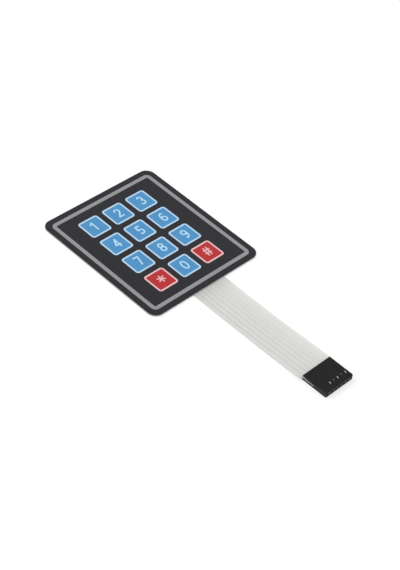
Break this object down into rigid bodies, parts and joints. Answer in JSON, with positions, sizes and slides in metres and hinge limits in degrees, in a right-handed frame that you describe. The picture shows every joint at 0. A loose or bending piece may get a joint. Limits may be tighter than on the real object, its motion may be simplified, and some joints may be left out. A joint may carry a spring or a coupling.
{
  "type": "membrane keypad",
  "caption": "Thin flexible telephone-style keypad with printed snap-dome keys, a self-adhesive back, a flat film tail and a single-row socket.",
  "frame": {"origin": "middle of the panel's rear face, on the peel-off liner", "axes": "+X along a key row to the right, +Y up the key columns, away from the tail, +Z out of the printed face"},
  "size_m": [0.0688, 0.1572, 0.0026],
  "materials": {
    "overlay_film": "fine matt texture, black",
    "grey_ink": "flat grey print",
    "white_ink": "flat white print",
    "blue_ink": "flat blue print",
    "red_ink": "flat red print",
    "clear_adhesive": "thin clear adhesive",
    "spacer_film": "clear film",
    "dome_steel": "spring steel",
    "silver_ink": "printed silver",
    "circuit_film": "milky film, satin",
    "cover_film": "milky film, satin",
    "liner_paper": "coated paper",
    "housing_plastic": "moulded, black",
    "contact_metal": "tinned sheet metal"
  },
  "bodies": {
    "panel": {"graphic_overlay": "overlay_film", "border_print": "grey_ink", "key_outline_print": "white_ink", "blue_key_print": "blue_ink", "red_key_print": "red_ink", "overlay_adhesive": "clear_adhesive", "dome_spacer": "spacer_film", "circuit_film": "circuit_film", "tail_cover_film": "cover_film", "rear_adhesive": "clear_adhesive", "release_liner": "liner_paper", "connector_housing": "housing_plastic", "row_1_trace": "silver_ink", "row_2_trace": "silver_ink", "row_3_trace": "silver_ink", "row_4_trace": "silver_ink", "column_1_trace": "silver_ink", "column_2_trace": "silver_ink", "column_3_trace": "silver_ink", "contact_1": "contact_metal", "contact_2": "contact_metal", "contact_3": "contact_metal", "contact_4": "contact_metal", "contact_5": "contact_metal", "contact_6": "contact_metal", "contact_7": "contact_metal"},
    "key_1": {"dome_1": "dome_steel"},
    "key_2": {"dome_2": "dome_steel"},
    "key_3": {"dome_3": "dome_steel"},
    "key_4": {"dome_4": "dome_steel"},
    "key_5": {"dome_5": "dome_steel"},
    "key_6": {"dome_6": "dome_steel"},
    "key_7": {"dome_7": "dome_steel"},
    "key_8": {"dome_8": "dome_steel"},
    "key_9": {"dome_9": "dome_steel"},
    "key_star": {"dome_star": "dome_steel"},
    "key_0": {"dome_0": "dome_steel"},
    "key_hash": {"dome_hash": "dome_steel"}
  },
  "joints": [
    {"name": "key_1_press", "type": "slide", "parent": "panel", "child": "key_1", "axis": [0, 0, -1], "range_m": [0, 0.00028], "stiffness_N_per_m": 6000, "deforming": ["dome_1"]},
    {"name": "key_2_press", "type": "slide", "parent": "panel", "child": "key_2", "axis": [0, 0, -1], "range_m": [0, 0.00028], "stiffness_N_per_m": 6000, "deforming": ["dome_2"]},
    {"name": "key_3_press", "type": "slide", "parent": "panel", "child": "key_3", "axis": [0, 0, -1], "range_m": [0, 0.00028], "stiffness_N_per_m": 6000, "deforming": ["dome_3"]},
    {"name": "key_4_press", "type": "slide", "parent": "panel", "child": "key_4", "axis": [0, 0, -1], "range_m": [0, 0.00028], "stiffness_N_per_m": 6000, "deforming": ["dome_4"]},
    {"name": "key_5_press", "type": "slide", "parent": "panel", "child": "key_5", "axis": [0, 0, -1], "range_m": [0, 0.00028], "stiffness_N_per_m": 6000, "deforming": ["dome_5"]},
    {"name": "key_6_press", "type": "slide", "parent": "panel", "child": "key_6", "axis": [0, 0, -1], "range_m": [0, 0.00028], "stiffness_N_per_m": 6000, "deforming": ["dome_6"]},
    {"name": "key_7_press", "type": "slide", "parent": "panel", "child": "key_7", "axis": [0, 0, -1], "range_m": [0, 0.00028], "stiffness_N_per_m": 6000, "deforming": ["dome_7"]},
    {"name": "key_8_press", "type": "slide", "parent": "panel", "child": "key_8", "axis": [0, 0, -1], "range_m": [0, 0.00028], "stiffness_N_per_m": 6000, "deforming": ["dome_8"]},
    {"name": "key_9_press", "type": "slide", "parent": "panel", "child": "key_9", "axis": [0, 0, -1], "range_m": [0, 0.00028], "stiffness_N_per_m": 6000, "deforming": ["dome_9"]},
    {"name": "key_star_press", "type": "slide", "parent": "panel", "child": "key_star", "axis": [0, 0, -1], "range_m": [0, 0.00028], "stiffness_N_per_m": 6000, "deforming": ["dome_star"]},
    {"name": "key_0_press", "type": "slide", "parent": "panel", "child": "key_0", "axis": [0, 0, -1], "range_m": [0, 0.00028], "stiffness_N_per_m": 6000, "deforming": ["dome_0"]},
    {"name": "key_hash_press", "type": "slide", "parent": "panel", "child": "key_hash", "axis": [0, 0, -1], "range_m": [0, 0.00028], "stiffness_N_per_m": 6000, "deforming": ["dome_hash"]}
  ]
}
